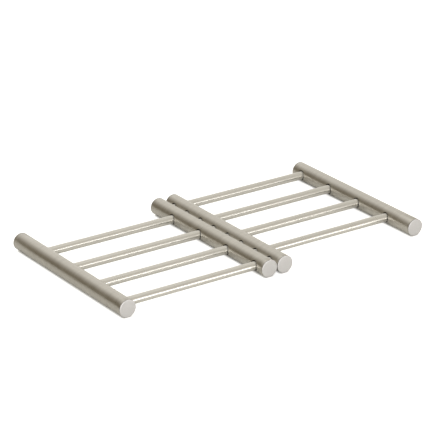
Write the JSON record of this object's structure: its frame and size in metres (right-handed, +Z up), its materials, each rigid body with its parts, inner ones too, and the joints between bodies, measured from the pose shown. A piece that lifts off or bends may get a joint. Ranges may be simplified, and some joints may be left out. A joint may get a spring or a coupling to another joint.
{
  "type": "expanding trivet",
  "caption": "Expanding stainless steel trivet: two interlocked frames of thick round bars and thin rods slide apart to carry hot pots and pans.",
  "frame": {"origin": "on the table, under the middle of the opened trivet", "axes": "+X along the rods, from the left frame to the right frame; +Y along the bars, to the rear; +Z up"},
  "size_m": [0.3822, 0.208, 0.019],
  "materials": {
    "brushed_bar": "brushed",
    "satin_rod": "satin, almost polished",
    "end_cap": "fine matte ground"
  },
  "bodies": {
    "left_frame": {"left_outer_bar": "brushed_bar", "left_outer_bar_front_cap": "end_cap", "left_outer_bar_rear_cap": "end_cap", "left_inner_bar": "brushed_bar", "left_inner_bar_front_cap": "end_cap", "left_inner_bar_rear_cap": "end_cap", "left_rod_1": "satin_rod", "left_rod_2": "satin_rod", "left_rod_3": "satin_rod", "left_rod_4": "satin_rod"},
    "right_frame": {"right_outer_bar": "brushed_bar", "right_outer_bar_front_cap": "end_cap", "right_outer_bar_rear_cap": "end_cap", "right_inner_bar": "brushed_bar", "right_inner_bar_front_cap": "end_cap", "right_inner_bar_rear_cap": "end_cap", "right_rod_1": "satin_rod", "right_rod_2": "satin_rod", "right_rod_3": "satin_rod", "right_rod_4": "satin_rod"}
  },
  "joints": [
    {"name": "frame_slide", "type": "slide", "parent": "left_frame", "child": "right_frame", "axis": [1, 0, 0], "range_m": [-0.1526, 0.0002]}
  ]
}
